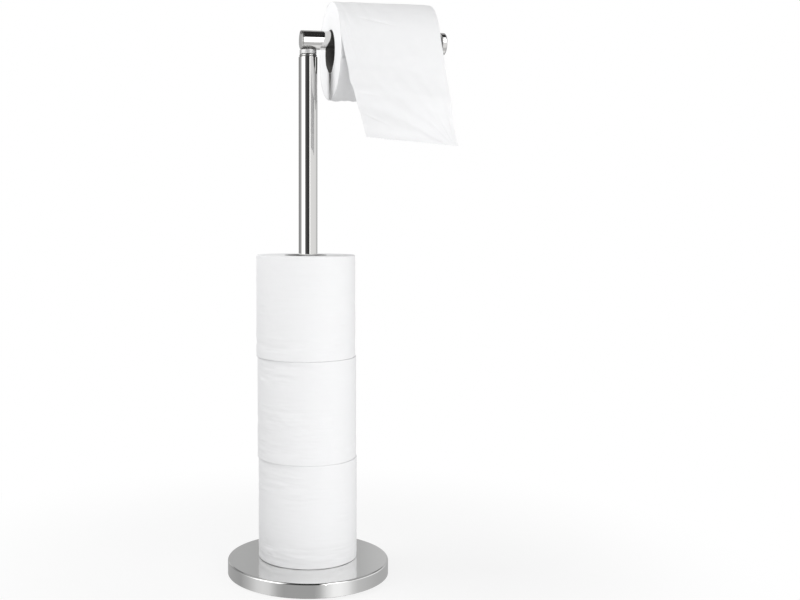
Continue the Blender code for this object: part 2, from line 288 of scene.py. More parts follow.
def makeFoamRubber():
    look = finishes["foamRubber"]
    material, tree, shader = newMaterial("foamRubber", look)
    sockets = {"Vector": objectPoint(tree), "Scale": look["cell"]}
    cells = addNode(tree, "ShaderNodeTexVoronoi", sockets).outputs["Distance"]
    paint(shader, cells, look["tint"], look["color"])
    roughen(shader, cells, look, look["cellSpan"])
    bump(shader, cells, look["depth"], look["strength"])
    return material


def localPoint(tree, place, turn):
    # A point in the piece's own axes: Z along the roll, with the middle of the roll at zero.
    sockets = {"Vector": objectPoint(tree), "Location": place, "Rotation": turn}
    return result(tree, "ShaderNodeMapping", sockets, vector_type="TEXTURE")


def makeCoreBoard(name, place, turn, length):
    # Its colours are darkened to paint the shade inside the bore; the seam and the fibre are the board's own.
    look = finishes["coreBoardPaintedShade"]
    material, tree, shader = newMaterial(name, look)
    point = localPoint(tree, place, turn)
    x, y, z = split(point)
    # The board's seam winds up the bore. The 8 whole turns keep the sum above zero.
    turns = plus(ratio(calc("ARCTAN2", y, x), 2 * math.pi), ratio(z, length / look["turns"]), 8.0)
    fromSeam = calc("ABSOLUTE", minus(calc("FRACT", turns), 0.5))
    seam = ranged(fromSeam, 0.0, look["seamWidth"], 1.0, 0.0)
    tone = minus(noiseOf(point, *look["fibre"]), times(seam, look["seamTone"]))
    paint(shader, tone, look["color"], look["tint"])
    bump(shader, tone, look["depth"])
    return material


def makeWoundTissue(name, place, turn):
    look = finishes["tissue"]
    material, tree, shader = newMaterial(name, look)
    point = localPoint(tree, place, turn)
    x, y = split(point)[:2]
    drift, strength, layerShare = look["layerDrift"], look["bumpStrength"], look["layerShare"]
    layers = noiseOf(joined(times(fromAxis(point), look["layers"]), times(x, drift), times(y, drift)), 1.0)
    crepe = noiseOf(vectorCalc("MULTIPLY", point, (1.0, 1.0, look["crepeStretch"])), look["crepe"])
    mottle = noiseOf(point, *look["mottle"])
    tone = plus(times(mottle, 1 - layerShare), times(layers, layerShare))
    # Where the tree marked the crease's step wall, painted dark shade takes the place of the paper's colour.
    crease = addNode(tree, "ShaderNodeAttribute", attribute_name="crease").outputs["Fac"]
    paint(shader, crease, blendColors(tone, look["shade"], look["color"]), look["paintedCreaseShade"])
    first = bump(shader, crepe, look["crepeDepth"], strength)
    bump(shader, layers, look["layerDepth"], strength, below=first)
    return material


def makeSheetTissue():
    look = finishes["tissue"]
    material, tree, shader = newMaterial("tissueSheet", look)
    point = addNode(tree, "ShaderNodeTexCoord").outputs["UV"]     # metres across and along the sheet
    crepe = noiseOf(vectorCalc("MULTIPLY", point, (look["crepeStretch"], 1.0, 1.0)), look["crepe"])
    paint(shader, noiseOf(point, *look["mottle"]), look["shade"], look["color"])
    bump(shader, crepe, look["crepeDepth"], look["bumpStrength"])
    return material


# Turned metal pieces
turnedLook = {
    "steps": 128, "smallSteps": 96, "baseSteps": 256, "weld": 0.0000005, "sharpDegrees": 35,
    "hold": 0.0003,           # how close to a corner the point that steadies the shading lies
}


def radiusOf(node):
    low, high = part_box(node)
    return (high.y - low.y) / 2


def arc(centerR, centerZ, radius, startDeg, endDeg, count=8):
    points = []
    for k in range(count + 1):
        angle = math.radians(startDeg + (endDeg - startDeg) * k / count)
        points.append((centerR + radius * math.cos(angle), centerZ + radius * math.sin(angle)))
    return points


def dome(radius, rimZ, height, count=10):
    # From the rim to the axis.
    points = []
    for k in range(count + 1):
        share = 1 - k / count
        points.append((radius * share, rimZ + height * (1 - share * share)))
    return points


def steadied(profile, ring):
    # Long runs get a point near each end, so that smooth shading keeps them straight.
    hold = turnedLook["hold"]
    ends = profile[1:] + profile[:1] if ring else profile[1:]
    points = []
    for first, second in zip(profile, ends):
        start, end = Vector(first), Vector(second)
        length = (end - start).length
        points.append(first)
        if length > 6 * hold:
            points.append(tuple(start.lerp(end, hold / length)))
            points.append(tuple(start.lerp(end, 1 - hold / length)))
    return points if ring else points + [profile[-1]]


def turned(name, profile, material, ring=True, alongX=False, height=0.0, steps=turnedLook["steps"]):
    # The profile's (radius, height) points run down the outer side and are turned about Z.
    work = bmesh.new()
    verts = [work.verts.new((r, 0.0, z)) for r, z in steadied(profile, ring)]
    pairs = list(zip(verts, verts[1:])) + ([(verts[-1], verts[0])] if ring else [])
    edges = [work.edges.new(pair) for pair in pairs]
    bmesh.ops.spin(work, geom=verts + edges, cent=(0, 0, 0), axis=(0, 0, 1), angle=2 * math.pi,
                   steps=steps, use_merge=True)
    bmesh.ops.remove_doubles(work, verts=work.verts, dist=turnedLook["weld"])
    bmesh.ops.recalc_face_normals(work, faces=work.faces)
    if alongX:
        onSide = Matrix.Rotation(math.pi / 2, 3, "Y")
        bmesh.ops.rotate(work, cent=(0, 0, 0), matrix=onSide, verts=work.verts)
    bmesh.ops.translate(work, vec=(0.0, 0.0, height), verts=work.verts)
    mesh = meshFrom(work, name, material)
    mesh.shade_smooth()
    mesh.set_sharp_from_angle(angle=math.radians(turnedLook["sharpDegrees"]))
    return addObject(name, mesh)


def standFor(item, body, slot, *nodes):
    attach(item, body)
    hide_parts(*nodes)


baseSize = {"radius": radiusOf("base_cover"), "wall": 0.001, "edge": 0.0019, "hole": 0.0044}
tubeSize = {"radius": radiusOf("post_tube"), "wall": 0.0012, "edge": 0.0003, "edgePoints": 5}
plugGap = 0.0003              # round the pieces that sit inside the tubes
plugRadius = tubeSize["radius"] - tubeSize["wall"] - plugGap


def makeBaseCover(material):
    low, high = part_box("base_cover")
    radius, wall, edge, hole = baseSize.values()
    inside, under = radius - wall, high.z - wall
    profile = [(hole, high.z)] + arc(radius - edge, high.z - edge, edge, 90, 0)
    profile += [(radius, low.z), (inside, low.z), (inside, under), (hole, under)]
    cover = turned("baseCover", profile, material, steps=turnedLook["baseSteps"])
    standFor(cover, "stand", "satin_steel", "base_cover")


def makePost(material):
    low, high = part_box("post_tube")
    radius, wall, edge, count = tubeSize.values()
    profile = [(radius - wall, high.z)] + arc(radius - edge, high.z - edge, edge, 90, 0, count)
    profile += [(radius, low.z), (radius - wall, low.z)]
    standFor(turned("postTube", profile, material), "stand", "chrome", "post_tube")


neckSize = {
    "bushBore": 0.0061, "flangeHeight": 0.0024, "flangeRadius": 0.0089, "flangePoints": 16,
    "collarEdge": 0.0006, "screwHole": 0.0028, "screwRadius": 0.0025, "screwHeadHeight": 0.003,
    "screwHeadEdge": 0.0005, "socketRadius": 0.0026, "socketDepth": 0.0018,
}


def makeNeck(chrome, satin, zinc):
    size = neckSize
    low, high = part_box("swivel_bush")
    bead, outside, bore = size["flangeHeight"] / 2, size["flangeRadius"], size["bushBore"]
    bush = [(bore, high.z)] + arc(outside - bead, high.z - bead, bead, 90, -90, size["flangePoints"])
    bush += [(plugRadius, high.z - 2 * bead), (plugRadius, low.z), (bore, low.z)]
    standFor(turned("swivelBush", bush, chrome), "neck_bush", "chrome", "swivel_bush")

    low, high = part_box("neck_collar")
    edge, outside, hole = size["collarEdge"], radiusOf("neck_collar"), size["screwHole"]
    collar = [(hole, high.z)] + arc(outside - edge, high.z - edge, edge, 90, 0)
    collar += [(outside, low.z), (hole, low.z)]
    standFor(turned("neckCollar", collar, satin), "arm", "satin_steel", "neck_collar")

    small = turnedLook["smallSteps"]
    for name, node in (("neckSpigot", "neck_spigot"), ("retainingWasher", "neck_retaining_washer")):
        low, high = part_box(node)
        outside = radiusOf(node)
        profile = [(hole, high.z), (outside, high.z), (outside, low.z), (hole, low.z)]
        standFor(turned(name, profile, zinc, steps=small), "arm", "zinc_steel", node)

    low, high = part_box("neck_screw")
    shank, headTop, edge = size["screwRadius"], low.z + size["screwHeadHeight"], size["screwHeadEdge"]
    head, socket = radiusOf("neck_screw"), size["socketRadius"]
    screw = [(0.0, high.z), (shank, high.z), (shank, headTop), (head, headTop)]
    screw += arc(head - edge, low.z + edge, edge, 0, -90, 4)
    screw += [(socket, low.z), (socket, low.z + size["socketDepth"]), (0.0, low.z + size["socketDepth"])]
    item = turned("neckScrew", screw, zinc, ring=False, steps=small)
    standFor(item, "arm", "zinc_steel", "neck_screw")


armSize = {
    "endCapFlange": 0.0012, "endCapEdge": 0.0007, "endCapDome": 0.0005,
    "tipCapLength": 0.006, "tipCapEdge": 0.0014, "tipCapDome": 0.0006,
}


def makeArm(chrome):
    size = armSize
    low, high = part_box("arm_tube")
    axis = (low.z + high.z) / 2

    def lay(name, node, profile, ring=False):
        item = turned(name, profile, chrome, ring, alongX=True, height=axis)
        standFor(item, "arm", "chrome", node)

    radius, wall, edge, count = tubeSize.values()
    tube = [(radius - wall, high.x)] + arc(radius - edge, high.x - edge, edge, 90, 0, count)
    tube += arc(radius - edge, low.x + edge, edge, 0, -90, count) + [(radius - wall, low.x)]
    lay("armTube", "arm_tube", tube, ring=True)

    low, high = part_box("arm_end_cap")
    rim, edge = low.x + size["endCapDome"], size["endCapEdge"]
    shoulder = rim + size["endCapFlange"]
    cap = [(0.0, high.x), (plugRadius, high.x), (plugRadius, shoulder), (radius, shoulder)]
    cap += arc(radius - edge, rim + edge, edge, 0, -90)
    cap += [(r, 2 * rim - z) for r, z in dome(radius - edge, rim, size["endCapDome"])[1:]]
    lay("armEndCap", "arm_end_cap", cap)

    low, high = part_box("arm_tip_cap")
    rim, edge, tipRadius = high.x - size["tipCapDome"], size["tipCapEdge"], radiusOf("arm_tip_cap")
    shoulder = rim - size["tipCapLength"]
    tip = list(reversed(dome(tipRadius - edge, rim, size["tipCapDome"])))[:-1]
    tip += arc(tipRadius - edge, rim - edge, edge, 90, 0)
    tip += arc(tipRadius - edge, shoulder + edge, edge, 0, -90)
    tip += [(plugRadius, shoulder), (plugRadius, low.x), (0.0, low.x)]
    lay("armTipCap", "arm_tip_cap", tip)


chromeLook = makeChrome()
satinLook = makeSatinSteel()
zincLook = makeMottled("zincSteel")
makeBaseCover(satinLook)
makePost(chromeLook)
makeNeck(chromeLook, makeSatinCollar(), zincLook)
makeArm(chromeLook)
print("metal pieces turned")

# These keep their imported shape. All but the pad lie inside others.
zincNodes = ("base_bolt", "base_flat_washer", "base_spring_washer", "post_foot_insert", "arm_nut_block")
plainNodes = {"base_weight": makeMottled("castIron"), "base_pad": makeFoamRubber()}
plainNodes.update(dict.fromkeys(zincNodes, zincLook))
for node, material in plainNodes.items():
    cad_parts[node].data.materials.clear()
    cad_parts[node].data.materials.append(material)


# Geometry Nodes trees
socketKinds = {float: "NodeSocketFloat", int: "NodeSocketInt", type(None): "NodeSocketMaterial"}


def shaped(tree, kind, sockets=None, **settings):
    return result(tree, "GeometryNode" + kind, sockets, **settings)


def startTree(name, sizes):
    tree = bpy.data.node_groups.new(name, "GeometryNodeTree")
    for way in ("OUTPUT", "INPUT"):
        tree.interface.new_socket("Geometry", in_out=way, socket_type="NodeSocketGeometry")
    for label, value in sizes.items():
        socket = tree.interface.new_socket(label, in_out="INPUT", socket_type=socketKinds[type(value)])
        if value is not None:
            socket.default_value = value
    return tree, {socket.name: socket for socket in addNode(tree, "NodeGroupInput").outputs}


def endTree(tree, geometry, material):
    smooth = shaped(tree, "SetShadeSmooth", {"Geometry": geometry})
    real = shaped(tree, "RealizeInstances", {"Geometry": smooth})
    painted = shaped(tree, "SetMaterial", {"Geometry": real, "Material": material})
    addNode(tree, "NodeGroupOutput", {"Geometry": painted})
    return tree


def evaluated(item):
    # Gives the item's mesh with its modifiers applied, and removes the item.
    mesh = bpy.data.meshes.new_from_object(item.evaluated_get(bpy.context.evaluated_depsgraph_get()))
    bpy.data.objects.remove(item)
    return mesh


def grown(name, tree, values, matrix):
    # Runs the tree on an object of its own and keeps the result as a plain mesh, put in place.
    holder = addObject(name + "Holder", bpy.data.meshes.new(name + "Start"))
    modifier = holder.modifiers.new(tree.name, "NODES")
    modifier.node_group = tree
    for socket in tree.interface.items_tree:
        if socket.in_out == "INPUT" and socket.name in values:
            modifier[socket.identifier] = values[socket.name]
    mesh = evaluated(holder)
    mesh.name = name
    mesh.transform(matrix)
    return addObject(name, mesh)


# The winding of each roll. A ripple is in waves per metre, with Z along the roll.
winding = {
    "patches": (17.0, 17.0, 26.0),
    "longWrinkles": (26.0, 26.0, 120.0),
    "fineWrinkles": (42.0, 42.0, 330.0),
    "dimples": (110.0, 110.0, 190.0),
    "wander": (18.0, 18.0, 9.0),
    "patchSpan": (0.0, 0.35), "patchShare": 0.7, "fineShare": 0.45, "dimpleShare": 0.5, "coreSway": 26.0,
    "lowWrinkles": ((-0.85, -0.4, 0.75, 0.0), (-1.0, -0.78, 0.1, 1.0)),     # heights in half widths
    "layers": 420.0, "layerDrift": 12.0, "creaseHalf": 0.00012, "paintedShadeSpan": (0.0001, 0.0004),
    "outerCrease": 0.45,                  # the crease's share at the roll's outside
    "pressReach": 0.012,                  # how far from the bore the pressed sides go
    "pressMiddle": 0.56,                  # radians from the crease to the middle of a pressed side
    "pressWidth": 0.28,
    "pressFade": -0.4,                    # the fade starts here, in half lengths
    "pressFar": 0.15,
}


def pointedHole(fromSeam, depth, along, length):
    # The hole's sides press in to the left and right of the crease, which leaves a pointed end. It fades
    # towards the roll's other end.
    aside = ratio(minus(calc("ABSOLUTE", fromSeam), winding["pressMiddle"]), winding["pressWidth"])
    end = ratio(length, 2.0)
    near = ranged(along, times(end, winding["pressFade"]), end, 1.0, winding["pressFar"])
    return times(bell(aside), near, depth)


def woundRollTree():
    tree, given = startTree("Wound roll", {
        "Bore Radius": 0.0219, "Outer Radius": 0.05, "Width": 0.1, "Edge Radius": 0.001,
        "Columns": 215, "Rows": 380, "Seam Angle": 0.0, "Gather": 0.0, "Lap Step": 0.0002,
        "Wrinkle Depth": 0.0003, "Even Wrinkles": 0.15, "Wander": 0.0002, "Face Relief": 0.00015,
        "Crease Step": 0.0, "Crease Reach": 0.012, "Hole Point": 0.0, "Seed": 0.0, "Material": None,
    })
    look = winding
    outer, bore, width, edge = (given[n] for n in ("Outer Radius", "Bore Radius", "Width", "Edge Radius"))
    half = ratio(width, 2.0)
    section = shaped(tree, "CurvePrimitiveQuadrilateral", {"Width": minus(outer, bore), "Height": width})
    corner = shaped(tree, "FilletCurve", {"Curve": section, "Radius": edge, "Count": 6}, mode="POLY")
    rows = shaped(tree, "ResampleCurve", {"Curve": corner, "Count": given["Rows"]})
    path = shaped(tree, "CurvePrimitiveCircle",
                  {"Resolution": given["Columns"], "Radius": ratio(plus(outer, bore), 2.0)})
    solid = shaped(tree, "CurveToMesh", {"Curve": path, "Profile Curve": rows})

    point = shaped(tree, "InputPosition")
    x, y, z = split(point)
    fromSeam = minus(calc("ARCTAN2", y, x), given["Seam Angle"])
    # Columns gather at the seam, so that its step and the crease stay crisp.
    turnBack = times(calc("SINE", fromSeam), times(given["Gather"], -1.0))
    gathered = result(tree, "ShaderNodeVectorRotate", {"Vector": point, "Angle": turnBack},
                      rotation_type="Z_AXIS")
    moved = shaped(tree, "SetPosition", {"Geometry": solid, "Position": gathered})

    radius = calc("SQRT", plus(times(x, x), times(y, y)))
    onSide = ranged(radius, minus(outer, edge), outer, 0.0, 1.0)
    onFace = ranged(calc("ABSOLUTE", z), minus(half, edge), half, 0.0, 1.0)
    seeded = vectorCalc("ADD", point, joined(given["Seed"]))

    def ripple(name, detail=1.0):
        waving = noiseOf(vectorCalc("MULTIPLY", seeded, look[name]), 1.0, detail)
        return times(minus(waving, 0.5), 2.0)

    # Short wrinkles lie round the roll, in patches and above its lower end, with dimples between them.
    height = ratio(z, half)
    above, below = look["lowWrinkles"]
    low = times(ranged(height, *above), ranged(height, *below))
    patches = ranged(ripple("patches"), *look["patchSpan"], 0.0, 1.0)
    wrinkled = calc("MINIMUM", plus(low, times(patches, look["patchShare"])), 1.0)
    even = given["Even Wrinkles"]
    share = plus(even, times(wrinkled, minus(1.0, even)))
    folds = plus(ripple("longWrinkles"), times(ripple("fineWrinkles"), look["fineShare"]),
                 times(ripple("dimples", 2.0), times(patches, look["dimpleShare"])))
    wrinkles = times(folds, share, given["Wrinkle Depth"])
    wander = times(ripple("wander"), given["Wander"])
    lap = minus(calc("FRACT", plus(ratio(fromSeam, 2 * math.pi), 2.0)), 1.0)
    outward = plus(wrinkles, wander, times(lap, given["Lap Step"]))
    onBore = ranged(radius, bore, plus(bore, look["pressReach"]), 1.0, 0.0)
    pressed = times(pointedHole(fromSeam, given["Hole Point"], z, width), onBore)
    radial = minus(times(outward, onSide), pressed)

    # The wound edges stand a little in and out, layer by layer.
    drift = look["layerDrift"]
    layerPoint = joined(times(radius, look["layers"]), times(x, drift),
                        plus(times(y, drift), given["Seed"]))
    relief = times(minus(noiseOf(layerPoint, 1.0, 1.5), 0.5), given["Face Relief"], 2.0)
    # At the crease the paper steps outwards, and the wall of the step is marked for a painted dark shade.
    sideways = times(radius, calc("SINE", fromSeam))
    nearCrease = bell(ratio(sideways, given["Crease Reach"]))
    under = times(calc("GREATER_THAN", calc("COSINE", fromSeam), 0.0), calc("LESS_THAN", z, 0.0))
    rise = minus(ranged(sideways, -look["creaseHalf"], look["creaseHalf"], 0.0, 1.0), 0.5)
    fading = ranged(radius, bore, outer, 1.0, look["outerCrease"])
    ledge = times(rise, nearCrease, fading, times(under, given["Crease Step"]))
    axial = times(plus(relief, ledge), onFace)
    # This mask on the step's wall carries the painted shade, stored below as the crease attribute.
    onWall = ranged(calc("ABSOLUTE", sideways), *look["paintedShadeSpan"], 1.0, 0.0)
    creased = times(calc("GREATER_THAN", given["Crease Step"], 0.0), fading)
    paintedCreaseShadeMask = times(onWall, times(under, onFace), creased)

    offset = joined(times(ratio(x, radius), radial), times(ratio(y, radius), radial),
                    times(calc("SIGN", z), axial))
    marked = shaped(tree, "StoreNamedAttribute",
                    {"Geometry": moved, "Name": "crease", "Value": paintedCreaseShadeMask}, data_type="FLOAT")
    formed = shaped(tree, "SetPosition", {"Geometry": marked, "Offset": offset})
    return endTree(tree, formed, given["Material"])


def boardCoreTree():
    tree, given = startTree("Board core", {
        "Bore Radius": 0.02, "Wall": 0.0008, "Length": 0.1, "Columns": 96, "Wander": 0.0001,
        "Seam Turns": 1.5, "Seam Width": 0.0014, "Seam Height": 0.0003, "Hole Point": 0.0, "Seed": 0.0,
        "Material": None,
    })
    bore, wall, length = given["Bore Radius"], given["Wall"], given["Length"]
    section = shaped(tree, "CurvePrimitiveQuadrilateral", {"Width": wall, "Height": length})
    rows = shaped(tree, "SubdivideCurve", {"Curve": section, "Cuts": 9})
    path = shaped(tree, "CurvePrimitiveCircle",
                  {"Resolution": given["Columns"], "Radius": plus(bore, ratio(wall, 2.0))})
    tube = shaped(tree, "CurveToMesh", {"Curve": path, "Profile Curve": rows})

    # The wound board's overlap shows inside the bore as a low helical ridge.
    rise = minus(length, times(given["Seam Width"], 2.0))
    helix = shaped(tree, "CurveSpiral", {
        "Resolution": 64, "Rotations": given["Seam Turns"], "Start Radius": bore, "End Radius": bore,
        "Height": rise})
    centred = shaped(tree, "Transform", {"Geometry": helix, "Translation": joined(z=ratio(rise, -2.0))})
    upright = shaped(tree, "SetCurveNormal", {"Curve": centred}, mode="Z_UP")
    strip = shaped(tree, "CurvePrimitiveQuadrilateral",
                   {"Width": given["Seam Height"], "Height": given["Seam Width"]})
    ridge = shaped(tree, "CurveToMesh", {"Curve": upright, "Profile Curve": strip, "Fill Caps": True})
    both = addNode(tree, "GeometryNodeJoinGeometry")
    feed(both.inputs[0], tube)
    feed(both.inputs[0], ridge)

    point = shaped(tree, "InputPosition")
    x, y, z = split(point)
    seeded = vectorCalc("ADD", point, joined(given["Seed"]))
    sway = minus(noiseOf(seeded, winding["coreSway"], 1.0), 0.5)
    outward = vectorCalc("NORMALIZE", vectorCalc("MULTIPLY", point, (1.0, 1.0, 0.0)))
    pressed = pointedHole(calc("ARCTAN2", y, x), given["Hole Point"], z, length)
    push = result(tree, "ShaderNodeVectorMath",
                  {0: outward, "Scale": minus(times(sway, given["Wander"]), pressed)}, operation="SCALE")
    formed = shaped(tree, "SetPosition", {"Geometry": both.outputs[0], "Offset": push})
    return endTree(tree, formed, given["Material"])


# Rolls. Names with capitals are the trees' own inputs.
coreWall = 0.0008
paperGap = 0.0003                         # between the core and the paper
lapClearance = 0.00014                    # the hanging roll stands back by this under its outermost lap
spareLook = {"Edge Radius": 0.0004, "Gather": 0.3, "Lap Step": 0.00025, "Wrinkle Depth": 0.001,
             "Wander": 0.00025, "Face Relief": 0.0002}
spareWinding = ((1.9, 57.0), (1.35, 4.7), (2.3, 34.4))     # each one's loose end, in radians, and seed
hangingLook = {"Edge Radius": 0.00018, "Columns": 220, "Rows": 400, "Gather": 0.86, "Lap Step": 0.0,
               "Wrinkle Depth": 0.00005, "Wander": 0.00004, "Face Relief": 0.0002, "Crease Step": 0.0017,
               "Crease Reach": 0.011, "Hole Point": 0.0013, "Seed": 11.0}
uprightTurn = (0.0, 0.0, 0.0)
lyingTurn = (0.0, math.pi / 2, 0.0)       # the roll's own Z lies along the arm


def middleOf(node):
    low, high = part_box(node)
    return (low + high) / 2


def placed(place, turn):
    return Matrix.Translation(place) @ Matrix.Rotation(turn[1], 4, "Y")


def makeRoll(body, kind, number, turn, look, coreSeed, clearance=0.0):
    paper, core = body + "_paper", body + "_core"
    low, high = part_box(paper)
    width = high.x - low.x if turn == lyingTurn else high.z - low.z
    place = middleOf(paper)
    values = {
        **look,
        "Bore Radius": radiusOf(core) + paperGap,
        "Outer Radius": radiusOf(paper) - clearance,
        "Width": width,
        "Material": makeWoundTissue(f"tissue{kind.capitalize()}{number}", place, turn),
    }
    item = grown(f"{kind}Paper{number}", rollTree, values, placed(place, turn))
    standFor(item, body, "tissue_paper", paper)

    name, place = f"{kind}Core{number}", middleOf(core)
    values = {
        "Bore Radius": radiusOf(core) - coreWall,
        "Wall": coreWall,
        "Length": width,
        "Hole Point": look.get("Hole Point", 0.0),
        "Seed": coreSeed,
        "Material": makeCoreBoard(name + "Board", place, turn, width),
    }
    standFor(grown(name, coreTree, values, placed(place, turn)), body, "core_board", core)


rollTree = woundRollTree()
coreTree = boardCoreTree()
for number, (seamAngle, seed) in enumerate(spareWinding, 1):
    look = {**spareLook, "Seam Angle": seamAngle, "Seed": seed}
    makeRoll(f"spare_roll_{number}", "spare", number, uprightTurn, look, float(number))
makeRoll("hanging_roll", "hanging", "", lyingTurn, hangingLook, 5.0, lapClearance)
print("rolls wound")

# Sheet in use: the roll's outermost lap and the length that hangs from it
sheetLook = {
    "lapStart": math.radians(345),        # angle round the roll, from the front upwards, where the lap starts
    "leaveAngle": math.radians(15),
    "backRows": 70, "topRows": 110, "hangRows": 84, "columns": 96,
    "topLength": 0.08,                    # the stretch of the lap that the front shows
    "thickness": 0.00022, "offRoll": -0.0001,
    "drop": (0.1054, 0.1111),             # these three at the left and right edges
    "forward": (0.0432, 0.0182),
    "drift": (0.0144, 0.0123),
    "skewShare": 0.6, "handleShare": 0.38,
    "slantLength": 1.06,                  # the hanging paper's length, as a share of its drop
    "waveDepth": 0.0016, "waveCount": 1.5, "curlDepth": 0.0012, "curlShare": 0.07,
    "edgeWander": 0.0005,
    "edgeWaves": 70,                      # per metre
    "flutter": {"depth": 0.0013, "below": 0.05, "reach": 0.007},
    # Noise on the sheet: per metre across, its slant, per metre down, its place and its depth
    "soft": (17, 0, 44, 3.1, 0.0014),
    "fine": (45, 0, 120, 8.7, 0.0004),
    "streak": (80, 48, 12, 5.3, 0.00045),
    "pleats": (170, 30, 14, 7.7, 0.0013),
    "pleatReach": (0.032, 0.03),          # across from the left edge, and down from the leaving line
    "fan": (6.5, 0, 14, 1.9, 0.0014),     # here per radian about the pulled corner, and per metre from it
    "fanCorner": (0.97, 0.112),           # its share of the width, and metres below the leaving line
    "fanStart": 0.02,
    "creases": (                          # middle across and below, slope, half length and depth
        (0.038, -0.0125, 0.26, 0.014, 0.0008), (0.013, 0.0635, 0.1, 0.007, 0.0009),
        (0.013, 0.0885, 0.4, 0.011, 0.0008), (0.006, 0.035, -0.6, 0.006, 0.0004)),
    "creaseWidth": 0.0013,
    "lapLift": 0.0004,
    "streakShares": (0.7, 0.5),           # on the roll, and where the sheet hangs
    "slack": 0.25,                        # the share of its drop by which the sheet hangs loose
    "tightEnd": 0.007,                    # the lap lies close on the roll within this of its ends
    "tightShare": 0.12,
    "tearPitch": 0.138,                   # between lines of perforations
    "firstTear": 1.04,                    # where the free edge was torn, as a share of the hanging length
    "slitHeight": 0.00025,
    "slitColumns": 2,                     # each slit's columns, with one column of paper between slits
    "tuft": 0.0006,
    "sharpDegrees": 60,
}
hangLength = sum(sheetLook["drop"]) / 2
rollLow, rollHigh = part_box("hanging_roll_paper")
axisHeight = (rollLow.z + rollHigh.z) / 2


def bezier(points, share):
    rest = 1 - share
    a, b, c, d = points
    return a * rest ** 3 + b * 3 * rest ** 2 * share + c * 3 * rest * share ** 2 + d * share ** 3


def sheetEdge(x, side, rollRadius):
    drop, forward, drift = (sheetLook[name][side] for name in ("drop", "forward", "drift"))
    leaveAngle = sheetLook["leaveAngle"]
    leave = Vector((x, -rollRadius * math.cos(leaveAngle), axisHeight + rollRadius * math.sin(leaveAngle)))
    corner = leave + Vector((drift, -forward, -drop))
    tangent = Vector((sheetLook["skewShare"] * drift / drop, -math.sin(leaveAngle), -math.cos(leaveAngle)))
    handle = sheetLook["handleShare"] * drop
    return leave, leave + tangent * handle, corner - (corner - leave).normalized() * handle, corner


def sheetRows():
    # Each row is its distance below the leaving line, and its left and right ends. Thin rows take the slits.
    look = sheetLook
    rollRadius = radiusOf("hanging_roll_paper") + look["offRoll"]
    left, right = sheetEdge(rollLow.x, 0, rollRadius), sheetEdge(rollHigh.x, 1, rollRadius)
    lapLength = (look["lapStart"] - look["leaveAngle"]) * rollRadius
    backLength = lapLength - look["topLength"]
    places = [backLength * row / look["backRows"] - lapLength for row in range(look["backRows"])]
    places += [look["topLength"] * (row / look["topRows"] - 1) for row in range(look["topRows"])]
    places += [hangLength * row / look["hangRows"] for row in range(look["hangRows"] + 1)]
    slits = []
    line = hangLength * look["firstTear"] - look["tearPitch"]
    while line > -lapLength:
        slits.append(line)
        line -= look["tearPitch"]
    half = look["slitHeight"] / 2
    places = [place for place in places if all(abs(place - slit) > 3 * half for slit in slits)]
    places = sorted(places + [slit + side for slit in slits for side in (-half, half)])
    rows = []
    for below in places:
        torn = any(abs(below + half - slit) < half / 10 for slit in slits)
        if below < 0:
            angle = look["leaveAngle"] - below / rollRadius
            y, z = -rollRadius * math.cos(angle), axisHeight + rollRadius * math.sin(angle)
            rows.append((below, Vector((rollLow.x, y, z)), Vector((rollHigh.x, y, z)), torn))
        else:
            share = below / hangLength
            rows.append((below, bezier(left, share), bezier(right, share), torn))
    return rows


def waves(name, across, down):
    perAcross, slant, perDown, place, depth = sheetLook[name]
    return noise.noise(Vector((across * perAcross - down * slant, down * perDown, place))) * depth


def foldDepth(below, across, hang, width):
    # How far the sheet stands out of its plain form, in metres.
    look = sheetLook
    streak = waves("streak", across, below)
    cornerAcross, cornerBelow = look["fanCorner"]
    pull = Vector((cornerAcross * width - across, cornerBelow - below))
    angle, away = math.atan2(pull.x, max(pull.y, 0.0001)), pull.length
    fan = waves("fan", angle, away) * min(1.0, away / look["fanStart"])
    crease = 0.0
    for middleAcross, middleBelow, slope, reach, depth in look["creases"]:
        aside = across - middleAcross
        beside = below - middleBelow - slope * aside
        crease -= depth * math.exp(-(aside / reach) ** 2 - (beside / look["creaseWidth"]) ** 2)
    reachAcross, reachDown = look["pleatReach"]
    pleated = waves("pleats", across, below)
    pleated *= math.exp(-(across / reachAcross) ** 2) * math.exp(-(max(0.0, below) / reachDown) ** 2)
    inward = min(1.0, min(across, width - across) / look["tightEnd"])
    loose = look["tightShare"] + (1 - look["tightShare"]) * inward * inward * (3 - 2 * inward)
    lapShare, hangShare = look["streakShares"]
    onRoll = (lapShare * streak + look["lapLift"] + crease + pleated) * loose
    hanging = waves("soft", across, below) + waves("fine", across, below)
    hanging = hanging + hangShare * streak + fan * hang
    return onRoll + hanging * min(1.0, hang / look["slack"])


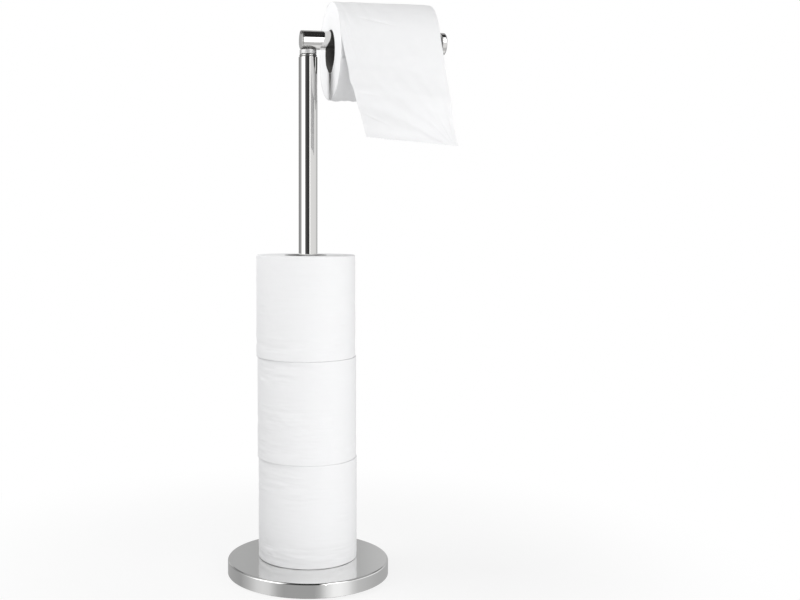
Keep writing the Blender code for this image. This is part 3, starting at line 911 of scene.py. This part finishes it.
def sheetGrid(rows):
    # Each point is its plain place, how far it waves forward, how far it folds, and its UV in metres.
    look, flutter = sheetLook, sheetLook["flutter"]
    grid = []
    for below, start, end, torn in rows:
        hang = max(0.0, below / hangLength)
        left, right = (noise.noise(Vector((below * look["edgeWaves"], place, 2.2))) * look["edgeWander"]
                       for place in (0.4, 5.4))
        left -= flutter["depth"] * math.exp(-((below - flutter["below"]) / flutter["reach"]) ** 2)
        curl = max(0.0, (hang - 1 + look["curlShare"]) / look["curlShare"]) ** 2 * look["curlDepth"]
        width = (end - start).length
        line = []
        for column in range(look["columns"] + 1):
            share = column / look["columns"]
            point = start.lerp(end, share)
            point.x += left * (1 - share) ** 3 + right * share ** 3
            phase = 2 * math.pi * look["waveCount"] * (hang + share / 2)
            wave = look["waveDepth"] * hang * (1 - math.cos(phase)) / 2
            if below == rows[-1][0]:
                # Fibres stand out where the torn paper bridged the slits.
                onBridge = column % (look["slitColumns"] + 1) < 2
                shred = noise.noise(Vector((column * 1.7, 4.1, 0.6)))
                point.z -= look["tuft"] * (0.25 * shred + (0.5 + 0.5 * shred) * onBridge)
            fold = foldDepth(below, share * width, hang, width)
            line.append((point, wave + curl, fold, (share * width, -below)))
        grid.append(line)
    return grid


def makeSheet():
    look = sheetLook
    rows = sheetRows()
    grid = sheetGrid(rows)
    work = bmesh.new()
    uvLayer = work.loops.layers.uv.new("sheet")
    verts = []
    for index, line in enumerate(grid):
        before, after = grid[max(index - 1, 0)], grid[min(index + 1, len(grid) - 1)]
        placedRow = []
        for column, (point, wave, fold, uv) in enumerate(line):
            down = after[column][0] - before[column][0]
            outward = (line[-1][0] - line[0][0]).cross(down).normalized()
            facing = Vector((0, -1, 0) if rows[index][0] > 0 else (0, point.y, point.z - axisHeight))
            if outward.dot(facing) < 0:
                outward = -outward
            placedRow.append((work.verts.new(point + outward * fold + Vector((0, -wave, 0))), uv))
        verts.append(placedRow)
    for row, (upper, lower) in enumerate(zip(verts, verts[1:])):
        for k in range(look["columns"]):
            if rows[row][3] and k % (look["slitColumns"] + 1):
                continue
            corners = (upper[k], lower[k], lower[k + 1], upper[k + 1])
            face = work.faces.new([vert for vert, uv in corners])
            for loop, (vert, uv) in zip(face.loops, corners):
                loop[uvLayer].uv = uv
    item = addObject("hangingSheetHolder", meshFrom(work, "hangingSheet", makeSheetTissue()))
    wall = item.modifiers.new("thickness", "SOLIDIFY")
    wall.thickness = look["thickness"]
    wall.offset = 1.0
    solid = evaluated(item)
    solid.shade_smooth()
    solid.set_sharp_from_angle(angle=math.radians(look["sharpDegrees"]))
    sheet = addObject("hangingSheet", solid)
    standFor(sheet, "hanging_roll", "tissue_paper", "hanging_sheet")


makeSheet()
print("sheet hung")

# Studio
studio = {
    "worldLevel": 0.6,
    "lamps": {                       # azimuth, elevation, distance, the height it points at, size, watts
        "key": (42.0, 8.0, 1.9, 0.3, 0.9, 4.8),
        "front": (10.0, 1.0, 1.9, 0.22, 0.5, 10.8),
        "sideFill": (-102.0, 28.0, 0.6, 0.534, 0.4, 2.7),
    },
}
floorLook = {
    "radius": 4.0,
    "color": (0.86, 0.86, 0.86),
    "roughness": 1.0,
    "fade": (0.16, 0.5),             # the floor turns plain white between these distances
    "glow": 0.78,                    # what the camera sees of that white beside the object
}
# Only reflections see the tent. Each band is its bottom, its top and its stops, which are (azimuth in
# degrees from the front, level). The arm shows the narrow card in front as its white band.
tent = {"radius": 1.9, "cardRadius": 1.85, "steps": 240, "scale": 3.0, "lidLevel": 0.035}
tentBands = {
    "groundBand": (-3.6, -0.95, (
        (-180, 0.6), (-60, 0.6), (-40, 0.66), (60, 0.66), (90, 0.6), (180, 0.6))),
    "lowBand": (-0.95, -0.05, (
        (-180, 0.42), (-120, 0.36), (-103, 0.5), (-87, 0.71), (-77, 0.76), (-67, 0.72), (-54, 0.45),
        (-45, 0.37), (-3, 0.37), (4, 0.47), (15, 0.81), (24, 0.985), (34, 1.0), (45, 0.88), (53, 0.69),
        (62, 0.56), (90, 0.485), (105, 0.455), (180, 0.42))),
    "middleBand": (-0.05, 0.92, (
        (-180, 0.44), (-166, 0.46), (-156, 0.6), (-148, 0.34), (-131, 0.27), (-109, 0.5), (-94, 1.1),
        (-86, 1.7), (-51, 1.7), (-45, 0.4), (-40, 0.14), (-26, 0.07), (-6, 0.05), (4, 0.04), (6, 1.0),
        (95, 0.96), (108, 0.78), (131, 0.5), (155, 0.5), (161.5, 0.58), (163, 0.53), (165, 0.42),
        (172, 0.42), (174, 0.46), (180, 0.44))),
    "highBand": (0.92, 1.54, (
        (-180, 0.2), (-120, 0.2), (-98, 0.5), (-90, 1.7), (-52, 1.7), (-46, 0.1), (5, 0.04), (9, 0.3),
        (10, 2.4), (46, 2.4), (54, 0.4), (95, 0.4), (120, 0.2), (180, 0.2))),
    "upperBand": (1.54, 2.6, (
        (-180, 0.45), (-120, 0.45), (-98, 0.5), (-90, 1.6), (-52, 1.6), (-46, 0.03), (20, 0.03),
        (23, 2.4), (46, 2.4), (54, 0.3), (95, 0.3), (120, 0.45), (180, 0.45))),
    "topBand": (2.6, 4.0, (
        (-180, 0.5), (-120, 0.5), (-98, 0.5), (-90, 0.9), (-52, 0.9), (-46, 0.03), (28, 0.03),
        (32, 1.6), (46, 1.6), (54, 0.25), (95, 0.25), (120, 0.5), (180, 0.5))),
    "frontCard": (-0.5, 0.92, ((10.9, 2.4), (13.9, 2.4))),
}


def emissionMaterial(name):
    material = bpy.data.materials.new(name)
    material.use_nodes = True
    tree = material.node_tree
    tree.nodes.clear()
    glow = addNode(tree, "ShaderNodeEmission")
    addNode(tree, "ShaderNodeOutputMaterial", {"Surface": glow.outputs[0]})
    material.cycles.emission_sampling = "NONE"
    return material, glow


def onlyReflected(item):
    for rays in ("camera", "diffuse", "transmission", "volume_scatter", "shadow"):
        setattr(item, "visible_" + rays, False)


def makeTentBand(name, radius, bottom, top, stops):
    material, glow = emissionMaterial(name)
    tree = material.node_tree
    around = addNode(tree, "ShaderNodeTexCoord").outputs["UV"]
    ramp = addNode(tree, "ShaderNodeValToRGB", {"Fac": split(around)[0]})
    elements = ramp.color_ramp.elements
    elements.remove(elements[0])
    start, end = stops[0][0], stops[-1][0]
    for index, (azimuth, level) in enumerate(stops):
        position = (azimuth - start) / (end - start)
        stop = elements[0] if index == 0 else elements.new(position)
        stop.position = position
        stop.color = (*(level / tent["scale"],) * 3, 1.0)
    feed(glow.inputs["Strength"], times(ramp.outputs["Color"], tent["scale"]))

    work = bmesh.new()
    uvLayer = work.loops.layers.uv.new("turn")
    steps = max(4, round(tent["steps"] * (end - start) / 360))
    columns = []
    for k in range(steps + 1):
        azimuth = math.radians(start + (end - start) * k / steps)
        x, y = radius * math.sin(azimuth), -radius * math.cos(azimuth)
        columns.append([work.verts.new((x, y, z)) for z in (bottom, top)])
    for k, (first, second) in enumerate(zip(columns, columns[1:])):
        face = work.faces.new((first[0], second[0], second[1], first[1]))
        for loop, column in zip(face.loops, (k, k + 1, k + 1, k)):
            loop[uvLayer].uv = (column / steps, 0.5)
    onlyReflected(addObject(name, meshFrom(work, name, material)))


def disc(name, radius, height, material):
    work = bmesh.new()
    bmesh.ops.create_circle(work, cap_ends=True, segments=96, radius=radius)
    bmesh.ops.translate(work, vec=(0, 0, height), verts=work.verts)
    return addObject(name, meshFrom(work, name, material))


def makeTent():
    for name, band in tentBands.items():
        makeTentBand(name, tent["cardRadius" if name == "frontCard" else "radius"], *band)
    material, glow = emissionMaterial("tentLid")
    feed(glow.inputs["Strength"], tent["lidLevel"])
    onlyReflected(disc("tentLid", tent["radius"], tentBands["topBand"][1], material))


def makeFloor():
    look = floorLook
    material, tree, shader = newMaterial("paleFloor", look)
    fade = ranged(fromAxis(objectPoint(tree)), *look["fade"], look["glow"], 1.0)
    path = addNode(tree, "ShaderNodeLightPath")
    mixed = addNode(tree, "ShaderNodeMixShader", {0: times(fade, path.outputs["Is Camera Ray"])})
    feed(mixed.inputs[1], shader.outputs[0])
    feed(mixed.inputs[2], result(tree, "ShaderNodeEmission"))
    feed(tree.nodes["Material Output"].inputs["Surface"], mixed.outputs[0])
    floor = disc("floor", look["radius"], 0.0, material)
    floor.visible_glossy = False


def makeWorld():
    world = bpy.data.worlds.new("studio")
    world.use_nodes = True
    scene.world = world
    tree = world.node_tree
    background = tree.nodes["Background"]
    feed(background.inputs["Color"], (1.0, 1.0, 1.0, 1.0))
    rays = addNode(tree, "ShaderNodeLightPath").outputs
    seen = calc("MAXIMUM", rays["Is Camera Ray"],
                calc("MAXIMUM", rays["Is Glossy Ray"], rays["Is Transmission Ray"]))
    level = studio["worldLevel"]
    feed(background.inputs["Strength"], plus(level, times(seen, 1.0 - level)))


def makeLamps():
    for name, (azimuth, elevation, distance, aim, size, watts) in studio["lamps"].items():
        data = bpy.data.lights.new(name, "AREA")
        data.size = size
        data.energy = watts
        item = addObject(name, data)
        azimuth, elevation = math.radians(azimuth), math.radians(elevation)
        back = Vector((math.sin(azimuth) * math.cos(elevation), -math.cos(azimuth) * math.cos(elevation),
                       math.sin(elevation)))
        item.location = Vector((0.0, 0.0, aim)) + back * distance
        item.rotation_euler = back.to_track_quat("Z", "Y").to_euler()
        item.visible_glossy = False


makeTent()
makeFloor()
makeWorld()
makeLamps()
print("studio lit")
